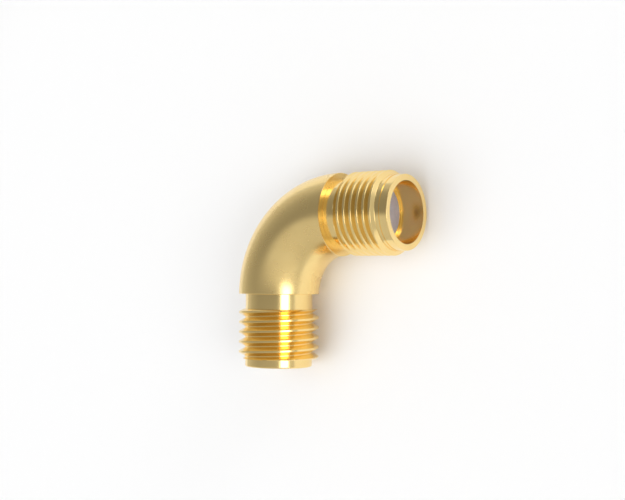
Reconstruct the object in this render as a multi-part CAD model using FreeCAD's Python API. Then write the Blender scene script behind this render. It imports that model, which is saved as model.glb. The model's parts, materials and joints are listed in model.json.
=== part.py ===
"""A swept right-angle coaxial adapter: two threaded jacks joined by a round elbow. All sizes in mm.

The adapter lies on its side with the bend in a level plane. The front jack opens towards -Y and the
side jack towards +X. The origin is under the middle of the part, on the surface it lies on.
"""

import FreeCAD, Part
import os

from FreeCAD import Vector

# Elbow: a bent tube with both ends turned down to spigots
ELBOW_DIAMETER = 6.35
BEND_RADIUS = 6.12
LINE_BORE = 2.92

# Jack, in lengths from the elbow's end face to the front rim. The barrel is plain, at the size that
# its 1/4-36 thread has over the crests.
NECK_LENGTH = 1.20
BARREL_LENGTH = 3.87
NOSE_LENGTH = 0.65
NECK_DIAMETER = 5.30
BARREL_DIAMETER = 6.32
BARREL_CHAMFER = 0.12
NOSE_EDGE_BREAK = 0.08

# Recess in the front of the jack, down to the face that the plug's outer contact meets
MOUTH_DIAMETER = 4.66
MOUTH_DEPTH = 1.93

# Soldered joint between the elbow's spigot and the socket in the jack's back
SPIGOT_DIAMETER = 4.60
SPIGOT_LENGTH = 1.00
SOLDER_GAP = 0.02
SPIGOT_END_GAP = 0.05

# Bead and the centre line
INSULATOR_BORE = 4.10
CONDUCTOR_DIAMETER = 1.27
TAIL_DIAMETER = 0.60
CONTACT_DIAMETER = 1.27
CONTACT_SOCKET_DIAMETER = 0.94
CONTACT_SOCKET_DEPTH = 2.60
CONTACT_SLOT_LENGTH = 2.20
CONTACT_SLOT_WIDTH = 0.13
CONTACT_SLOT_CUTS = 2
CONTACT_RECESS = 0.03
CONTACT_TIP_CHAMFER = 0.08
FLANGE_DIAMETER = 1.70
FLANGE_LENGTH = 0.40
CUP_DEPTH = 0.80
CUP_END_GAP = 0.05
SLIP_GAP = 0.01

# Sizes that follow from those above
ELBOW_RADIUS = ELBOW_DIAMETER / 2
JACK_LENGTH = NECK_LENGTH + BARREL_LENGTH + NOSE_LENGTH
BARREL_END = NECK_LENGTH + BARREL_LENGTH
REFERENCE_PLANE = JACK_LENGTH - MOUTH_DEPTH
FLANGE_END = SPIGOT_LENGTH + FLANGE_LENGTH
REACH = BEND_RADIUS + JACK_LENGTH
SPREAD = (REACH - ELBOW_RADIUS) / 2

UP = Vector(0, 0, 1)
ORIGIN = Vector(0, 0, 0)


def turned(profile):
    """A turned piece from its half section, a closed loop of (radius, height) corners."""
    corners = [Vector(radius, 0, height) for radius, height in profile]
    section = Part.Face(Part.makePolygon(corners + corners[:1]))
    return section.revolve(ORIGIN, UP, 360)


def swept(diameter):
    """A solid round bar bent through the elbow's full quarter turn, in the adapter's frame."""
    section = Part.Face(Part.Wire(Part.makeCircle(diameter / 2, FRONT_END, Vector(0, 1, 0))))
    return section.revolve(BEND_CENTRE, UP, -90)


def jack_shell():
    """The jack's one-piece shell: neck, barrel and plain nose round a stepped bore."""
    outside = NECK_DIAMETER / 2
    barrel = BARREL_DIAMETER / 2
    mouth = MOUTH_DIAMETER / 2
    bore = INSULATOR_BORE / 2
    socket = SPIGOT_DIAMETER / 2 + SOLDER_GAP
    socket_end = SPIGOT_LENGTH + SPIGOT_END_GAP
    return turned([
        (socket, 0),
        (outside, 0),
        (outside, NECK_LENGTH),
        (barrel - BARREL_CHAMFER, NECK_LENGTH),
        (barrel, NECK_LENGTH + BARREL_CHAMFER),
        (barrel, BARREL_END - BARREL_CHAMFER),
        (barrel - BARREL_CHAMFER, BARREL_END),
        (outside, BARREL_END),
        (outside, JACK_LENGTH - NOSE_EDGE_BREAK),
        (outside - NOSE_EDGE_BREAK, JACK_LENGTH),
        (mouth, JACK_LENGTH),
        (mouth, REFERENCE_PLANE),
        (bore, REFERENCE_PLANE),
        (bore, socket_end),
        (socket, socket_end),
    ])


def insulator():
    """The bead that carries the contact. It seats on the spigot's end, with the flange in its back."""
    outside = INSULATOR_BORE / 2 - SLIP_GAP
    bore = CONTACT_DIAMETER / 2 + SLIP_GAP
    flange = FLANGE_DIAMETER / 2 + SLIP_GAP
    return turned([
        (flange, SPIGOT_LENGTH),
        (outside, SPIGOT_LENGTH),
        (outside, REFERENCE_PLANE),
        (bore, REFERENCE_PLANE),
        (bore, FLANGE_END),
        (flange, FLANGE_END),
    ])


def contact():
    """The socket contact: slotted in front, with a flange and, behind, the cup for the tail."""
    outside = CONTACT_DIAMETER / 2
    flange = FLANGE_DIAMETER / 2
    socket = CONTACT_SOCKET_DIAMETER / 2
    cup = TAIL_DIAMETER / 2 + SLIP_GAP
    tip = REFERENCE_PLANE - CONTACT_RECESS
    body = turned([
        (cup, 0),
        (outside, 0),
        (outside, SPIGOT_LENGTH),
        (flange, SPIGOT_LENGTH),
        (flange, FLANGE_END),
        (outside, FLANGE_END),
        (outside, tip - CONTACT_TIP_CHAMFER),
        (outside - CONTACT_TIP_CHAMFER, tip),
        (socket, tip),
        (socket, tip - CONTACT_SOCKET_DEPTH),
        (0, tip - CONTACT_SOCKET_DEPTH),
        (0, CUP_DEPTH),
        (cup, CUP_DEPTH),
    ])
    slot = Part.makeBox(
        CONTACT_DIAMETER,
        CONTACT_SLOT_WIDTH,
        CONTACT_SLOT_LENGTH,
        Vector(-CONTACT_DIAMETER / 2, -CONTACT_SLOT_WIDTH / 2, tip - CONTACT_SLOT_LENGTH),
    )
    for cut in range(CONTACT_SLOT_CUTS):
        turned_slot = slot.copy()
        turned_slot.rotate(ORIGIN, UP, 45 + 180 * cut / CONTACT_SLOT_CUTS)
        body = body.cut(turned_slot)
    return body


def bent_rod(diameter, tail_diameter, tail_length):
    """A round bar through the elbow's bend, with a straight tail at each end."""
    tail = Part.makeCylinder(tail_diameter / 2, tail_length)
    return swept(diameter).fuse([on_front_jack(tail), on_side_jack(tail)]).removeSplitter()


def elbow_body():
    """The bent tube. Its bore runs straight through the spigots and round the bend."""
    body = bent_rod(ELBOW_DIAMETER, SPIGOT_DIAMETER, SPIGOT_LENGTH)
    return body.cut(bent_rod(LINE_BORE, LINE_BORE, SPIGOT_LENGTH))


def curved_conductor():
    """The centre conductor in the bend's air-filled bore, with a tail in the cup of each contact."""
    return bent_rod(CONDUCTOR_DIAMETER, TAIL_DIAMETER, CUP_DEPTH - CUP_END_GAP)


def on_front_jack(shape):
    """Move a piece from the jack's own frame to the front jack, which opens towards -Y."""
    placed = shape.copy()
    placed.rotate(ORIGIN, Vector(1, 0, 0), 90)
    placed.translate(FRONT_END)
    return placed


def on_side_jack(shape):
    """Move a piece from the jack's own frame to the side jack, which opens towards +X."""
    placed = shape.copy()
    placed.rotate(ORIGIN, Vector(0, 1, 0), 90)
    placed.translate(SIDE_END)
    return placed


# The centres of the elbow's two end faces and of its bend
FRONT_END = Vector(-SPREAD, SPREAD - BEND_RADIUS, ELBOW_RADIUS)
SIDE_END = Vector(BEND_RADIUS - SPREAD, SPREAD, ELBOW_RADIUS)
BEND_CENTRE = Vector(SIDE_END.x, FRONT_END.y, ELBOW_RADIUS)

PIECES = {
    "elbow_body": elbow_body(),
    "front_jack_shell": on_front_jack(jack_shell()),
    "side_jack_shell": on_side_jack(jack_shell()),
    "front_insulator": on_front_jack(insulator()),
    "side_insulator": on_side_jack(insulator()),
    "front_contact": on_front_jack(contact()),
    "side_contact": on_side_jack(contact()),
    "curved_conductor": curved_conductor(),
}

os.makedirs("parts", exist_ok=True)
for node, shape in PIECES.items():
    shape.exportStep(f"parts/{node}.step")
    print(f"{node}: {len(shape.Solids)} solid, {shape.Volume:.3f} mm3, valid {shape.isValid()}")
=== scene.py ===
"""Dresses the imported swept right-angle coax adapter: gold-plated elbow and jacks, PTFE beads, contacts."""

import json
import logging
import math
from dataclasses import dataclass
from enum import Enum

import bmesh
import bpy
from mathutils import Matrix, Vector


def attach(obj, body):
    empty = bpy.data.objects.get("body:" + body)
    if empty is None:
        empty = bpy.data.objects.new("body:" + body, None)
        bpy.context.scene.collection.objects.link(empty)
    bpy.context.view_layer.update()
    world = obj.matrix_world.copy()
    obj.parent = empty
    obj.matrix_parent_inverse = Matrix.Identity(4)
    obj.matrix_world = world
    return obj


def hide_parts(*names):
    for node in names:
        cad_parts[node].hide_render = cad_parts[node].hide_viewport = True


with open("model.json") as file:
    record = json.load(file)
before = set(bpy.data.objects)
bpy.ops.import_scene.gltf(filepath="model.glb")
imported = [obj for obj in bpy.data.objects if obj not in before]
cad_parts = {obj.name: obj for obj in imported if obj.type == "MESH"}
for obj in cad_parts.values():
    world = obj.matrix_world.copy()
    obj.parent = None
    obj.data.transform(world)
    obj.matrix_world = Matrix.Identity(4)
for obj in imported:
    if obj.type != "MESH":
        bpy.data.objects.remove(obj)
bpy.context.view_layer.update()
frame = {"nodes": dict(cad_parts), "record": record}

logging.basicConfig(level=logging.INFO, format="%(message)s")
LOG = logging.getLogger("adapter")

# Metres in a millimetre
MM = 0.001

# Facets in a full turn of a large and of a small turned piece
FINE = 192
COARSE = 96

# Millimetres within which two points are one, and within which a point lies on a cutting plane
SAME_POINT = 1e-4
ON_PLANE = 1e-5

# The least fold, in degrees, that is shaded as an edge
CRISP_FOLD = 12

# The material number of the faces inside a jack's mouth
MOUTH_MATERIAL = 1

# The one body that every piece belongs to
PIECE_BODY = "root"


class Slot(Enum):
    """The record's material slots."""

    GOLD = "gold_plate"
    PTFE = "ptfe"
    SILVER = "silver_plate"


def linear(colour: str) -> tuple[float, float, float, float]:
    """Turn an sRGB hex colour into linear light.

    Args:
        colour: six hex digits after a hash.

    Returns:
        Linear red, green and blue, and an alpha of one.
    """
    channels = [int(colour[start:start + 2], 16) / 255 for start in (1, 3, 5)]
    straight = [c / 12.92 if c <= 0.04045 else ((c + 0.055) / 1.055) ** 2.4 for c in channels]
    return (*straight, 1.0)


def add_node(tree: bpy.types.NodeTree, kind: str, settings: dict | None = None,
             inputs: dict | None = None) -> bpy.types.Node:
    """Add one shader node with its settings, values and links.

    Args:
        tree: the node tree that gets the node.
        kind: the node's Blender type.
        settings: properties of the node itself.
        inputs: value of each input by name or number; a socket is linked instead.

    Returns:
        The new node.
    """
    node = tree.nodes.new(kind)
    for name, value in (settings or {}).items():
        setattr(node, name, value)
    for name, value in (inputs or {}).items():
        if isinstance(value, bpy.types.NodeSocket):
            tree.links.new(value, node.inputs[name])
        else:
            node.inputs[name].default_value = value
    return node


def new_material(name: str) -> tuple[bpy.types.Material, bpy.types.NodeTree, bpy.types.Node]:
    """Make a material with one Principled shader.

    Args:
        name: the material's name.

    Returns:
        The material, its node tree and the shader.
    """
    material = bpy.data.materials.new(name)
    material.use_nodes = True
    tree = material.node_tree
    return material, tree, tree.nodes["Principled BSDF"]


class Grain(Enum):
    """Which way a gold-plated surface was worked before plating."""

    BENT = "bent"
    TURNED_ALONG_Y = "turned_along_y"
    TURNED_ALONG_X = "turned_along_x"


@dataclass(frozen=True)
class GoldPlate:
    """Hard gold over nickel on brass: bright and warm, a little satin from the tool's marks beneath it.

    The marks on turned pieces stand one lathe feed apart, and those on the bend are drawn coarser, so that
    they show. The clouds are where the plating's tone and gloss drift.
    """

    name: str
    grain: Grain
    colour: str = "#FFE29D"
    dull_colour: str = "#F6D68E"
    roughness: float = 0.17
    roughness_spread: float = 0.03
    mark_spacing: float = 0.06 * MM
    mark_height: float = 0.0001 * MM
    mark_detail: float = 2.0
    mark_thinness: float = 0.04
    cloud_size: float = 1.6 * MM
    cloud_detail: float = 3.0
    cloud_low: float = 0.3
    cloud_high: float = 0.7

    def material(self) -> bpy.types.Material:
        """Make the gold-plate material.

        Returns:
            The finished material.
        """
        material, tree, shader = new_material(self.name)
        place = add_node(tree, "ShaderNodeTexCoord").outputs["Object"]
        clouds = add_node(
            tree, "ShaderNodeTexNoise",
            inputs={
                "Vector": place,
                "Scale": 1 / self.cloud_size,
                "Detail": self.cloud_detail,
                "Roughness": 0.55,
            },
        )
        colour = add_node(
            tree, "ShaderNodeMix", {"data_type": "RGBA"},
            {"Factor": clouds.outputs["Fac"], 6: linear(self.colour), 7: linear(self.dull_colour)},
        )
        rough = add_node(
            tree, "ShaderNodeMapRange",
            inputs={
                "Value": clouds.outputs["Fac"],
                "From Min": self.cloud_low,
                "From Max": self.cloud_high,
                "To Min": self.roughness - self.roughness_spread,
                "To Max": self.roughness + self.roughness_spread,
            },
        )
        bump = add_node(
            tree, "ShaderNodeBump",
            inputs={"Strength": 1.0, "Distance": self.mark_height, "Height": self.marks(tree, place)},
        )
        shader.inputs["Metallic"].default_value = 1.0
        tree.links.new(colour.outputs[2], shader.inputs["Base Color"])
        tree.links.new(rough.outputs["Result"], shader.inputs["Roughness"])
        tree.links.new(bump.outputs["Normal"], shader.inputs["Normal"])
        return material

    def marks(self, tree: bpy.types.NodeTree, place: bpy.types.NodeSocket) -> bpy.types.NodeSocket:
        """Add the height pattern of the tool's or the polisher's marks.

        Args:
            tree: the material's node tree.
            place: the point on the piece.

        Returns:
            The pattern's height, from 0 to 1.
        """
        if self.grain is Grain.BENT:
            stretch = (1.0, 1.0, 1.0)
        elif self.grain is Grain.TURNED_ALONG_Y:
            stretch = (self.mark_thinness, 1.0, self.mark_thinness)
        else:
            stretch = (1.0, self.mark_thinness, self.mark_thinness)
        along = add_node(tree, "ShaderNodeMapping", inputs={"Vector": place, "Scale": stretch})
        noise = add_node(
            tree, "ShaderNodeTexNoise",
            inputs={
                "Vector": along.outputs["Vector"],
                "Scale": 1 / self.mark_spacing,
                "Detail": self.mark_detail,
                "Roughness": 0.6,
            },
        )
        return noise.outputs["Fac"]


@dataclass(frozen=True)
class Ptfe:
    """White fluoropolymer rod, faced on a lathe: soft, waxy and slightly translucent.

    It is written as grey as it looks in the shade of the mouth. Its grain is finer than 0.11 mm and is
    drawn that coarse so that it shows.
    """

    name: str = "ptfe_faced"
    colour: str = "#BDB6BD"
    shade_colour: str = "#A29BA4"
    roughness: float = 0.55
    refraction: float = 1.35
    grain_size: float = 0.11 * MM
    grain_height: float = 0.02 * MM
    grain_strength: float = 0.6
    mottle_size: float = 0.44 * MM
    glow: float = 0.25
    glow_depth: float = 0.15 * MM

    def material(self) -> bpy.types.Material:
        """Make the PTFE material.

        Returns:
            The finished material.
        """
        material, tree, shader = new_material(self.name)
        place = add_node(tree, "ShaderNodeTexCoord").outputs["Object"]
        mottle = add_node(
            tree, "ShaderNodeTexNoise",
            inputs={"Vector": place, "Scale": 1 / self.mottle_size, "Detail": 4.0, "Roughness": 0.6},
        )
        colour = add_node(
            tree, "ShaderNodeMix", {"data_type": "RGBA"},
            {"Factor": mottle.outputs["Fac"], 6: linear(self.colour), 7: linear(self.shade_colour)},
        )
        grain = add_node(
            tree, "ShaderNodeTexNoise",
            inputs={"Vector": place, "Scale": 1 / self.grain_size, "Detail": 2.0},
        )
        bump = add_node(
            tree, "ShaderNodeBump",
            inputs={
                "Strength": self.grain_strength,
                "Distance": self.grain_height,
                "Height": grain.outputs["Fac"],
            },
        )
        tree.links.new(colour.outputs[2], shader.inputs["Base Color"])
        tree.links.new(bump.outputs["Normal"], shader.inputs["Normal"])
        shader.inputs["Roughness"].default_value = self.roughness
        shader.inputs["IOR"].default_value = self.refraction
        shader.inputs["Subsurface Weight"].default_value = self.glow
        shader.inputs["Subsurface Scale"].default_value = self.glow_depth
        return material


@dataclass(frozen=True)
class SilverPlate:
    """Silver plate on drawn copper wire: pale and bright, with a tone that drifts in soft clouds."""

    name: str = "silver_plate_drawn"
    colour: str = "#EEEDE8"
    dull_colour: str = "#DAD8D0"
    roughness: float = 0.22
    cloud_size: float = 0.5 * MM

    def material(self) -> bpy.types.Material:
        """Make the silver-plate material.

        Returns:
            The finished material.
        """
        material, tree, shader = new_material(self.name)
        place = add_node(tree, "ShaderNodeTexCoord").outputs["Object"]
        clouds = add_node(
            tree, "ShaderNodeTexNoise",
            inputs={"Vector": place, "Scale": 1 / self.cloud_size, "Detail": 3.0},
        )
        colour = add_node(
            tree, "ShaderNodeMix", {"data_type": "RGBA"},
            {"Factor": clouds.outputs["Fac"], 6: linear(self.colour), 7: linear(self.dull_colour)},
        )
        tree.links.new(colour.outputs[2], shader.inputs["Base Color"])
        shader.inputs["Metallic"].default_value = 1.0
        shader.inputs["Roughness"].default_value = self.roughness
        return material


def turned(profile: list[tuple[float, float]], steps: int, closed: bool = True) -> bmesh.types.BMesh:
    """Turn a half section about the Z axis.

    Args:
        profile: (radius, height) corners of the half section, in millimetres.
        steps: facets in a full turn.
        closed: whether the last corner joins the first.

    Returns:
        The turned mesh, which is open at both ends of an open half section.
    """
    mesh = bmesh.new()
    corners = [mesh.verts.new((radius, 0, height)) for radius, height in profile]
    for start, end in zip(corners, corners[1:]):
        mesh.edges.new((start, end))
    if closed:
        mesh.edges.new((corners[-1], corners[0]))
    bmesh.ops.spin(
        mesh, geom=mesh.verts[:] + mesh.edges[:], cent=(0, 0, 0), axis=(0, 0, 1),
        angle=math.tau, steps=steps, use_merge=True,
    )
    bmesh.ops.remove_doubles(mesh, verts=mesh.verts[:], dist=ON_PLANE)
    bmesh.ops.recalc_face_normals(mesh, faces=mesh.faces[:])
    return mesh


def soften(mesh: bmesh.types.BMesh, width: float, sharp: float = 30.0, segments: int = 2) -> None:
    """Round every crisp edge a little, as deburring and plating leave it.

    Args:
        mesh: the mesh to round.
        width: the rounding's width, in millimetres.
        sharp: the least fold, in degrees, that counts as an edge.
        segments: facets across each rounding.
    """
    crisp = [
        edge for edge in mesh.edges
        if len(edge.link_faces) == 2 and edge.calc_face_angle() > math.radians(sharp)
    ]
    bmesh.ops.bevel(
        mesh, geom=crisp, offset=width, affect="EDGES", segments=segments, profile=0.5,
        material=-1, clamp_overlap=True,
    )


def join(meshes: list[bmesh.types.BMesh]) -> bmesh.types.BMesh:
    """Put several meshes into one.

    Args:
        meshes: the meshes, all but the first of which are freed.

    Returns:
        The first mesh, with the rest added.
    """
    whole = meshes[0]
    for mesh in meshes[1:]:
        carrier = bpy.data.meshes.new("carrier")
        mesh.to_mesh(carrier)
        mesh.free()
        whole.from_mesh(carrier)
        bpy.data.meshes.remove(carrier)
    return whole


def open_edges_at(mesh: bmesh.types.BMesh, height: float) -> list[bmesh.types.BMEdge]:
    """Find the open edges that lie at one height.

    Args:
        mesh: the mesh.
        height: the height, in millimetres.

    Returns:
        The edges.
    """
    return [
        edge for edge in mesh.edges
        if edge.is_boundary and all(abs(vert.co.z - height) < SAME_POINT for vert in edge.verts)
    ]


def new_object(mesh: bmesh.types.BMesh, name: str, place: Matrix) -> bpy.types.Object:
    """Turn a mesh in millimetres into an object at the origin, in metres.

    Args:
        mesh: the mesh, which is freed.
        name: the object's name.
        place: where the piece goes, in the adapter's frame, in millimetres.

    Returns:
        The object, smooth-shaded apart from its crisp edges.
    """
    bmesh.ops.recalc_face_normals(mesh, faces=mesh.faces[:])
    bmesh.ops.transform(mesh, matrix=Matrix.Scale(MM, 4) @ place, verts=mesh.verts[:])
    data = bpy.data.meshes.new(name)
    mesh.to_mesh(data)
    mesh.free()
    data.shade_smooth()
    data.set_sharp_from_angle(angle=math.radians(CRISP_FOLD))
    piece = bpy.data.objects.new(name, data)
    bpy.context.scene.collection.objects.link(piece)
    return piece


def cut_away(mesh: bmesh.types.BMesh, cutter: bmesh.types.BMesh) -> bmesh.types.BMesh:
    """Cut one closed mesh out of another.

    Args:
        mesh: the mesh that is cut, which is freed.
        cutter: the shape that is taken away, which is freed.

    Returns:
        What is left.
    """
    pair = []
    for part in (mesh, cutter):
        data = bpy.data.meshes.new("cut")
        part.to_mesh(data)
        part.free()
        held = bpy.data.objects.new("cut", data)
        bpy.context.scene.collection.objects.link(held)
        pair.append(held)
    body, tool = pair
    cut = body.modifiers.new("cut", "BOOLEAN")
    cut.operation = "DIFFERENCE"
    cut.solver = "EXACT"
    cut.object = tool
    bpy.context.view_layer.update()
    result = bmesh.new()
    evaluated = body.evaluated_get(bpy.context.evaluated_depsgraph_get())
    result.from_mesh(evaluated.to_mesh())
    evaluated.to_mesh_clear()
    for held in pair:
        data = held.data
        bpy.data.objects.remove(held)
        bpy.data.meshes.remove(data)
    return result


def dress(piece: bpy.types.Object, node: str, material: bpy.types.Material) -> None:
    """Give a piece its finish and let it stand for its CAD node.

    Args:
        piece: the new piece.
        node: the CAD node that it stands for.
        material: its finish.
    """
    piece.data.materials.append(material)
    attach(piece, PIECE_BODY)
    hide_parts(node)
    LOG.info("%s: %d faces", piece.name, len(piece.data.polygons))


@dataclass
class Thread:
    """The thread on a jack's barrel, in millimetres, at the pitch that the photograph draws.

    The interface is 1/4-36, whose own pitch is 0.7056. The phase is the angle, in degrees, at which a
    groove starts. The lead is the chamfer at an end. The relief is a plain length in front of the thread, as
    deep as its grooves, and the thread ends in a cone before it.
    """

    pitch: float
    phase: float
    relief: float = 0.0
    major: float = 6.32
    half_angle: float = 30.0
    crest_flat: float = 0.14
    root_flat: float = 0.06
    corner_round: float = 0.012
    lead: float = 0.12
    end_cuts: int = 4

    @property
    def rise(self) -> float:
        """The length of one flank along the axis."""
        return (self.pitch - self.crest_flat - self.root_flat) / 2

    @property
    def depth(self) -> float:
        """The groove's depth."""
        return self.rise / math.tan(math.radians(self.half_angle))

    def surface(self, start: float, end: float) -> bmesh.types.BMesh:
        """Make the helical surface between two heights, open at both.

        Args:
            start: the lower height, which a groove's middle crosses at the thread's phase.
            end: the upper height.

        Returns:
            The thread's surface about the Z axis, right-handed.
        """
        crest = self.major / 2
        root = crest - self.depth
        half_root = self.root_flat / 2
        chain = []
        # The turns that reach past either end are cut off below
        for turn in range(-2, math.ceil((end - start) / self.pitch) + 1):
            middle = start + turn * self.pitch
            chain += [
                (root, middle - half_root),
                (root, middle + half_root),
                (crest, middle + half_root + self.rise),
                (crest, middle + half_root + self.rise + self.crest_flat),
            ]
        mesh = bmesh.new()
        corners = [mesh.verts.new((radius, 0, height)) for radius, height in chain]
        for lower, upper in zip(corners, corners[1:]):
            mesh.edges.new((lower, upper))
        bmesh.ops.spin(
            mesh, geom=mesh.verts[:] + mesh.edges[:], cent=(0, 0, 0), axis=(0, 0, 1),
            dvec=(0, 0, self.pitch / FINE), angle=math.tau, steps=FINE, use_merge=False,
        )
        bmesh.ops.remove_doubles(mesh, verts=mesh.verts[:], dist=SAME_POINT)
        soften(mesh, self.corner_round)
        for height, side in ((start, -1), (end, 1)):
            bmesh.ops.bisect_plane(
                mesh, geom=mesh.verts[:] + mesh.edges[:] + mesh.faces[:], dist=ON_PLANE,
                plane_co=(0, 0, height), plane_no=(0, 0, side), clear_outer=True,
            )
        self.trim(mesh, start, end)
        bmesh.ops.rotate(
            mesh, cent=(0, 0, 0), matrix=Matrix.Rotation(math.radians(self.phase), 3, "Z"),
            verts=mesh.verts[:],
        )
        return mesh

    def trim(self, mesh: bmesh.types.BMesh, start: float, end: float) -> None:
        """Cut the leads that let a nut start, and end the thread in a cone if it has a relief.

        Args:
            mesh: the thread's surface.
            start: its lower height.
            end: its upper height.
        """
        crest = self.major / 2
        cone_start = end - self.relief - self.rise
        slopes = [(start, self.lead), (end, -self.lead)]
        if self.relief:
            slopes.append((cone_start, self.rise))
        for height, reach in slopes:
            for cut in range(self.end_cuts + 1):
                bmesh.ops.bisect_plane(
                    mesh, geom=mesh.verts[:] + mesh.edges[:] + mesh.faces[:], dist=ON_PLANE,
                    plane_co=(0, 0, height + reach * cut / self.end_cuts), plane_no=(0, 0, 1),
                )
        for vert in mesh.verts:
            height = vert.co.z
            radius = vert.co.xy.length
            most = crest - max(self.lead - min(height - start, end - height), 0)
            if self.relief:
                along_cone = min(max(height - cone_start, 0), self.rise)
                most = min(most, crest - self.depth * along_cone / self.rise)
            if radius > most:
                vert.co.xy = vert.co.xy * (most / radius)


@dataclass
class Jack:
    """One threaded jack. Heights run outwards from the elbow's end face, in millimetres."""

    name: str
    thread: Thread
    grain: Grain
    neck_length: float = 1.20
    barrel_length: float = 3.87
    nose_length: float = 0.65
    neck: float = 5.30
    nose: float = 5.30
    nose_break: float = 0.08
    mouth: float = 4.66
    mouth_depth: float = 1.93
    spigot: float = 4.60
    spigot_length: float = 1.00
    solder_gap: float = 0.02
    spigot_end_gap: float = 0.05
    insulator_bore: float = 4.10
    slip: float = 0.01
    contact: float = 1.27
    socket: float = 0.94
    socket_depth: float = 2.60
    slot_length: float = 2.20
    slot_width: float = 0.13
    slot_angles: tuple[float, float] = (45.0, 135.0)
    tip_recess: float = 0.03
    tip_chamfer: float = 0.08
    flange: float = 1.70
    flange_length: float = 0.40
    cup: float = 0.62
    cup_depth: float = 0.80
    edge_round: float = 0.018

    @property
    def length(self) -> float:
        """The jack's length from the elbow's end face to its front rim."""
        return self.neck_length + self.barrel_length + self.nose_length

    @property
    def seat(self) -> float:
        """The height of the face at the bottom of the mouth."""
        return self.length - self.mouth_depth

    def place(self) -> Matrix:
        """Find the jack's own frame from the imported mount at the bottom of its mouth.

        Returns:
            The matrix from the jack's frame to the adapter's, in millimetres.
        """
        mounts = {mount["name"]: mount for mount in frame["record"]["mounts"]}
        mount = mounts[f"{self.name}_mouth"]
        outward = Vector(mount["axis"])
        seat = Vector(mount["pos_m"]) / MM
        if self.grain is Grain.TURNED_ALONG_Y:
            turn = Matrix.Rotation(math.radians(90), 4, "X")
        else:
            turn = Matrix.Rotation(math.radians(90), 4, "Y")
        return Matrix.Translation(seat - outward * self.seat) @ turn

    def shell(self) -> bmesh.types.BMesh:
        """Make the turned and threaded shell.

        Returns:
            The shell in the jack's own frame.
        """
        neck = self.neck / 2
        nose = self.nose / 2
        mouth = self.mouth / 2
        bore = self.insulator_bore / 2
        socket = self.spigot / 2 + self.solder_gap
        socket_end = self.spigot_length + self.spigot_end_gap
        barrel_end = self.neck_length + self.barrel_length
        body = turned([
            (neck, self.neck_length),
            (neck, 0),
            (socket, 0),
            (socket, socket_end),
            (bore, socket_end),
            (bore, self.seat),
            (mouth, self.seat),
            (mouth, self.length),
            (nose - self.nose_break, self.length),
            (nose, self.length - self.nose_break),
            (nose, barrel_end),
        ], FINE, closed=False)
        soften(body, self.edge_round)
        shell = join([body, self.thread.surface(self.neck_length, barrel_end)])
        for height in (self.neck_length, barrel_end):
            bmesh.ops.triangle_fill(shell, edges=open_edges_at(shell, height), use_beauty=True)
        for face in shell.faces:
            middle = face.calc_center_median()
            if middle.z > self.seat + self.edge_round and middle.xy.length < mouth + self.edge_round:
                face.material_index = MOUTH_MATERIAL
        return shell

    def insulator(self) -> bmesh.types.BMesh:
        """Make the PTFE bead with its stepped bore.

        Returns:
            The bead in the jack's own frame.
        """
        outside = self.insulator_bore / 2 - self.slip
        bore = self.contact / 2 + self.slip
        flange = self.flange / 2 + self.slip
        flange_end = self.spigot_length + self.flange_length
        bead = turned([
            (flange, self.spigot_length),
            (outside, self.spigot_length),
            (outside, self.seat),
            (bore, self.seat),
            (bore, flange_end),
            (flange, flange_end),
        ], FINE)
        soften(bead, self.edge_round)
        return bead

    def socket_contact(self) -> bmesh.types.BMesh:
        """Make the slotted socket contact.

        Returns:
            The contact in the jack's own frame.
        """
        outside = self.contact / 2
        flange = self.flange / 2
        socket = self.socket / 2
        cup = self.cup / 2
        tip = self.seat - self.tip_recess
        flange_end = self.spigot_length + self.flange_length
        pin = turned([
            (cup, 0),
            (outside, 0),
            (outside, self.spigot_length),
            (flange, self.spigot_length),
            (flange, flange_end),
            (outside, flange_end),
            (outside, tip - self.tip_chamfer),
            (outside - self.tip_chamfer, tip),
            (socket, tip),
            (socket, tip - self.socket_depth),
            (0, tip - self.socket_depth),
            (0, self.cup_depth),
            (cup, self.cup_depth),
        ], COARSE)
        for angle in self.slot_angles:
            slot = bmesh.new()
            bmesh.ops.create_cube(slot, size=1.0)
            size = Matrix.Diagonal((2 * self.contact, self.slot_width, 2 * self.slot_length, 1))
            turn = Matrix.Rotation(math.radians(angle), 4, "Z")
            bmesh.ops.transform(
                slot, matrix=Matrix.Translation((0, 0, tip)) @ turn @ size, verts=slot.verts[:],
            )
            pin = cut_away(pin, slot)
        return pin

    def build(self, gold: bpy.types.Material, bored: bpy.types.Material, ptfe: bpy.types.Material) -> None:
        """Build and dress the jack's shell, bead and contact.

        Args:
            gold: the finish of its metal.
            bored: the duller finish inside its mouth.
            ptfe: the finish of its bead.
        """
        place = self.place()
        shell = new_object(self.shell(), f"{self.name}_shell", place)
        dress(shell, f"{self.name}_jack_shell", gold)
        shell.data.materials.append(bored)
        bead = new_object(self.insulator(), f"{self.name}_bead", place)
        dress(bead, f"{self.name}_insulator", ptfe)
        pin = new_object(self.socket_contact(), f"{self.name}_socket_contact", place)
        dress(pin, f"{self.name}_contact", gold)


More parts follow.
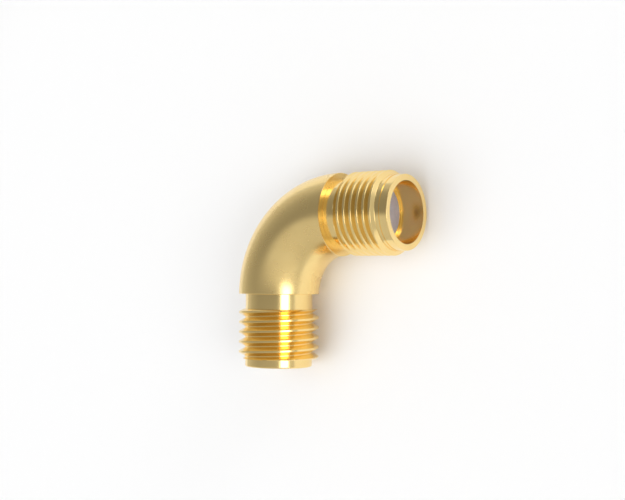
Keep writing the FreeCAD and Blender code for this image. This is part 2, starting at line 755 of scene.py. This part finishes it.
@dataclass
class Elbow:
    """The bent tube with its turned-down ends, in millimetres."""

    front: Jack
    side: Jack
    thickness: float = 6.35
    bore: float = 2.92
    edge_round: float = 0.05
    steps_per_half: int = 64

    def build(self, gold: bpy.types.Material) -> None:
        """Build the half at the front jack, mirror it across the bend and dress the whole.

        Args:
            gold: its finish.
        """
        front_end = self.front.place().translation
        side_end = self.side.place().translation
        bend_centre = Vector((side_end.x, front_end.y, front_end.z))
        half_bend = math.pi / 4
        spigot = self.front.spigot / 2
        length = self.front.spigot_length
        mesh = turned([
            (self.bore / 2, 0),
            (self.bore / 2, length),
            (spigot, length),
            (spigot, 0),
            (self.thickness / 2, 0),
        ], FINE, closed=False)
        bmesh.ops.transform(mesh, matrix=self.front.place(), verts=mesh.verts[:])
        rims = [edge for edge in mesh.edges if edge.is_boundary]
        rim_verts = list({vert for edge in rims for vert in edge.verts})
        bmesh.ops.spin(
            mesh, geom=rim_verts + rims, cent=bend_centre, axis=(0, 0, -1),
            angle=half_bend, steps=self.steps_per_half, use_merge=False,
        )
        across = Matrix.Translation(bend_centre) @ Matrix.Rotation(half_bend, 4, "Z")
        bmesh.ops.mirror(
            mesh, geom=mesh.verts[:] + mesh.edges[:] + mesh.faces[:], matrix=across.inverted(),
            merge_dist=SAME_POINT, axis="X",
        )
        bmesh.ops.remove_doubles(mesh, verts=mesh.verts[:], dist=SAME_POINT)
        bmesh.ops.recalc_face_normals(mesh, faces=mesh.faces[:])
        soften(mesh, self.edge_round)
        piece = new_object(mesh, "elbow", Matrix.Identity(4))
        dress(piece, "elbow_body", gold)


@dataclass(frozen=True)
class Softbox:
    """A soft light painted on the studio's wall, in degrees round the compass and up."""

    compass_from: float
    compass_to: float
    low: float
    high: float
    soft_edge: float
    level: float


@dataclass
class Studio:
    """The white floor with its painted pool of light, the painted walls, the lamp and the camera.

    Wall angles run round the row's Y axis, from 0 at +Z through 90 at +X, and heights run from -90 at -Y
    to 90 at +Y. Each wall is (angle, level) pairs.
    """

    azimuth: float = 36.775
    tilt: float = -1.489
    roll: float = 0.454
    distance: float = 81.435
    focal_pixels: float = 1049.685
    picture_width: int = 625
    aim_across: float = 3.273
    aim_up: float = 9.166
    sensor: float = 36.0
    nearest: float = 0.001
    farthest: float = 10.0
    floor_size: float = 3.0
    # The floor's colour holds a painted pool of light: white near the adapter, turning grey far from it
    floor_white: str = "#FAFAFA"
    painted_falloff_grey: str = "#C2C2C2"
    floor_roughness: float = 0.9
    white_within: float = 45.0
    falloff_grey_beyond: float = 115.0
    upper_wall: tuple[tuple[float, float], ...] = (
        (-180, 0.62), (-140, 0.60), (-84, 0.52), (-72, 0.43), (-60, 0.38), (-48, 0.32), (-36, 0.27),
        (30, 0.27), (40, 0.45), (84, 0.55), (132, 0.56), (180, 0.62),
    )
    lower_wall: tuple[tuple[float, float], ...] = (
        (-180, 0.84), (-120, 0.75), (-60, 0.64), (-36, 0.62), (0, 0.68), (36, 0.74), (60, 0.82),
        (168, 0.86), (180, 0.84),
    )
    lower_to_upper: tuple[float, float] = (-14.0, 2.0)
    into_top: tuple[float, float] = (45.0, 80.0)
    into_bottom: tuple[float, float] = (-45.0, -75.0)
    horizon_height: float = 0.45
    plain_level: float = 0.6
    strip: Softbox = Softbox(compass_from=42, compass_to=75, low=-19, high=10, soft_edge=7, level=4.4)
    panel: Softbox = Softbox(compass_from=55, compass_to=100, low=32, high=62, soft_edge=8, level=3.0)
    lamp_strength: float = 1.38
    lamp_spread: float = 70.0
    lamp_tilt: float = 14.0
    lamp_roll: float = -10.0

    def camera(self, front_rim: Vector) -> None:
        """Set the camera where the photograph was taken from.

        The angles and distances are those of the upright adapter, which stands on its front jack with
        its up along the row's +Y.

        Args:
            front_rim: the centre of the front jack's rim, in millimetres.
        """
        turn, tilt = math.radians(self.azimuth), math.radians(self.tilt)
        right = Vector((math.cos(turn), 0, -math.sin(turn)))
        back = Vector((math.sin(turn) * math.cos(tilt), math.sin(tilt), math.cos(turn) * math.cos(tilt)))
        up = back.cross(right)
        aim = front_rim + Vector((self.aim_across, self.aim_up, 0))
        look = Matrix((right, up, back)).transposed() @ Matrix.Rotation(math.radians(self.roll), 3, "Z")
        data = bpy.data.cameras.new("camera")
        data.sensor_width = self.sensor
        data.lens = self.focal_pixels / self.picture_width * self.sensor
        data.clip_start = self.nearest
        data.clip_end = self.farthest
        camera = bpy.data.objects.new("camera", data)
        camera.matrix_world = Matrix.Translation((aim + back * self.distance) * MM) @ look.to_4x4()
        bpy.context.scene.collection.objects.link(camera)
        bpy.context.scene.camera = camera

    def floor(self) -> None:
        """Lay the white paper floor with a painted pool of light: its colour dims to grey away from the
        adapter, where a lamp's light would fall off.
        """
        mesh = bmesh.new()
        bmesh.ops.create_grid(mesh, x_segments=1, y_segments=1, size=self.floor_size / 2)
        data = bpy.data.meshes.new("floor")
        mesh.to_mesh(data)
        mesh.free()
        floor = bpy.data.objects.new("floor", data)
        bpy.context.scene.collection.objects.link(floor)
        material, tree, shader = new_material("white_paper_floor")
        place = add_node(tree, "ShaderNodeTexCoord").outputs["Object"]
        away = add_node(tree, "ShaderNodeVectorMath", {"operation": "LENGTH"}, {0: place})
        # Painted falloff of light: how far the floor's colour has turned from white to grey
        painted_falloff = add_node(
            tree, "ShaderNodeMapRange", {"interpolation_type": "SMOOTHSTEP"},
            {
                "Value": away.outputs["Value"],
                "From Min": self.white_within * MM,
                "From Max": self.falloff_grey_beyond * MM,
            },
        )
        colour = add_node(
            tree, "ShaderNodeMix", {"data_type": "RGBA"},
            {"Factor": painted_falloff.outputs["Result"], 6: linear(self.floor_white), 7: linear(self.painted_falloff_grey)},
        )
        tree.links.new(colour.outputs[2], shader.inputs["Base Color"])
        shader.inputs["Roughness"].default_value = self.floor_roughness
        shader.inputs["Specular IOR Level"].default_value = 0.0
        data.materials.append(material)

    def world(self) -> None:
        """Paint the studio round the adapter: grey walls, darker by the camera, and two soft lights."""
        world = bpy.data.worlds.new("studio")
        world.use_nodes = True
        tree = world.node_tree
        way = add_node(tree, "ShaderNodeTexCoord").outputs["Generated"]
        axes = add_node(tree, "ShaderNodeSeparateXYZ", inputs={"Vector": way})
        compass = add_node(
            tree, "ShaderNodeMath", {"operation": "ARCTAN2"},
            {0: axes.outputs["X"], 1: axes.outputs["Z"]},
        )
        height = add_node(tree, "ShaderNodeMath", {"operation": "ARCSINE"}, {0: axes.outputs["Y"]})
        around = self.fraction(tree, compass.outputs[0], -math.pi, math.pi, smooth=False)
        walls = self.blend(
            tree, self.rise(tree, height.outputs[0], self.lower_to_upper),
            self.ramp(tree, around, self.lower_wall), self.ramp(tree, around, self.upper_wall),
        )
        plain = self.grey(tree, self.plain_level)
        for limits in (self.into_top, self.into_bottom):
            walls = self.blend(tree, self.rise(tree, height.outputs[0], limits), walls, plain)
        horizon = self.fraction(tree, axes.outputs["Z"], self.horizon_height, 0)
        walls = self.blend(tree, horizon, walls, plain)
        for box in (self.strip, self.panel):
            window = add_node(
                tree, "ShaderNodeMath", {"operation": "MULTIPLY"},
                {
                    0: self.band(tree, compass.outputs[0], box.compass_from, box.compass_to, box.soft_edge),
                    1: self.band(tree, height.outputs[0], box.low, box.high, box.soft_edge),
                },
            )
            walls = self.blend(tree, window.outputs[0], walls, self.grey(tree, box.level))
        background = tree.nodes["Background"]
        tree.links.new(walls, background.inputs["Color"])
        background.inputs["Strength"].default_value = 1.0
        bpy.context.scene.world = world

    def fraction(self, tree: bpy.types.NodeTree, value: bpy.types.NodeSocket, low: float, high: float,
                 smooth: bool = True) -> bpy.types.NodeSocket:
        """Turn a value into 0 to 1 between two limits.

        Args:
            tree: the world's node tree.
            value: the value.
            low: the value that gives 0.
            high: the value that gives 1.
            smooth: whether the way eases in and out.

        Returns:
            The fraction of the way.
        """
        node = add_node(
            tree, "ShaderNodeMapRange", {"interpolation_type": "SMOOTHSTEP" if smooth else "LINEAR"},
            {"Value": value, "From Min": low, "From Max": high},
        )
        return node.outputs["Result"]

    def rise(self, tree: bpy.types.NodeTree, angle: bpy.types.NodeSocket,
             limits: tuple[float, float]) -> bpy.types.NodeSocket:
        """Turn an angle in radians into 0 to 1 between two limits in degrees."""
        return self.fraction(tree, angle, *(math.radians(limit) for limit in limits))

    def band(self, tree: bpy.types.NodeTree, angle: bpy.types.NodeSocket, low: float, high: float,
             edge: float) -> bpy.types.NodeSocket:
        """Mark the angles between two limits, with soft edges.

        Args:
            tree: the world's node tree.
            angle: the angle.
            low: the lower limit, in degrees.
            high: the upper limit, in degrees.
            edge: the width of each soft edge, in degrees.

        Returns:
            One within the limits and 0 outside.
        """
        into = self.rise(tree, angle, (low, low + edge))
        out = self.rise(tree, angle, (high - edge, high))
        kept = add_node(tree, "ShaderNodeMath", {"operation": "SUBTRACT"}, {0: into, 1: out})
        return kept.outputs[0]

    def grey(self, tree: bpy.types.NodeTree, level: float) -> bpy.types.NodeSocket:
        """Give a plain grey of one light level."""
        node = add_node(tree, "ShaderNodeCombineXYZ", inputs={0: level, 1: level, 2: level})
        return node.outputs[0]

    def ramp(self, tree: bpy.types.NodeTree, place: bpy.types.NodeSocket,
             stops: tuple[tuple[float, float], ...]) -> bpy.types.NodeSocket:
        """Paint a grey level round the compass.

        Args:
            tree: the world's node tree.
            place: the compass angle from 0 at -180 degrees to 1 at 180.
            stops: compass angles in degrees and their light levels.

        Returns:
            The painted level.
        """
        node = add_node(tree, "ShaderNodeValToRGB", inputs={"Fac": place})
        elements = node.color_ramp.elements
        while len(elements) > 1:
            elements.remove(elements[-1])
        elements[0].position = stops[0][0] / 360 + 0.5
        elements[0].color = (stops[0][1],) * 3 + (1,)
        for angle, level in stops[1:]:
            elements.new(angle / 360 + 0.5).color = (level,) * 3 + (1,)
        return node.outputs["Color"]

    def blend(self, tree: bpy.types.NodeTree, amount: bpy.types.NodeSocket, first: bpy.types.NodeSocket,
              second: bpy.types.NodeSocket) -> bpy.types.NodeSocket:
        """Blend two light levels.

        Args:
            tree: the world's node tree.
            amount: how much of the second, from 0 to 1.
            first: the first level.
            second: the second level.

        Returns:
            The blend.
        """
        node = add_node(
            tree, "ShaderNodeMix", {"data_type": "VECTOR", "clamp_factor": True},
            {0: amount, 4: first, 5: second},
        )
        return node.outputs[1]

    def lamp(self) -> None:
        """Hang a wide soft lamp over the floor, out of the metal's reflections."""
        data = bpy.data.lights.new("overhead", "SUN")
        data.energy = self.lamp_strength
        data.angle = math.radians(self.lamp_spread)
        lamp = bpy.data.objects.new("overhead", data)
        lamp.rotation_euler = (math.radians(self.lamp_tilt), math.radians(self.lamp_roll), 0)
        lamp.visible_glossy = False
        bpy.context.scene.collection.objects.link(lamp)


def main() -> None:
    """Build every piece, the studio and the camera."""
    bpy.context.scene.view_settings.view_transform = "Standard"
    front = Jack("front", Thread(pitch=0.775, phase=200.0), Grain.TURNED_ALONG_Y)
    side = Jack(
        "side", Thread(pitch=0.565, phase=73.6, relief=0.30), Grain.TURNED_ALONG_X, nose=5.60,
        nose_break=0.03,
    )

    bent = GoldPlate(
        "gold_plate_bent", Grain.BENT, roughness=0.26, mark_spacing=0.3 * MM, mark_height=0.0004 * MM,
    )
    Elbow(front, side).build(bent.material())
    ptfe = Ptfe().material()
    for jack in (front, side):
        turned_gold = GoldPlate(f"gold_plate_{jack.grain.value}", jack.grain)
        bored_gold = GoldPlate(
            f"gold_plate_bored_{jack.name}", jack.grain, roughness=0.24, mark_height=0.0008 * MM,
            cloud_size=0.5 * MM,
        )
        jack.build(turned_gold.material(), bored_gold.material(), ptfe)
    frame["nodes"]["curved_conductor"].material_slots[0].material = SilverPlate().material()
    LOG.info("curved_conductor: mesh kept from the frame")

    studio = Studio()
    studio.floor()
    studio.world()
    studio.lamp()
    studio.camera(front.place() @ Vector((0, 0, front.length)))


if __name__ == "__main__":
    main()
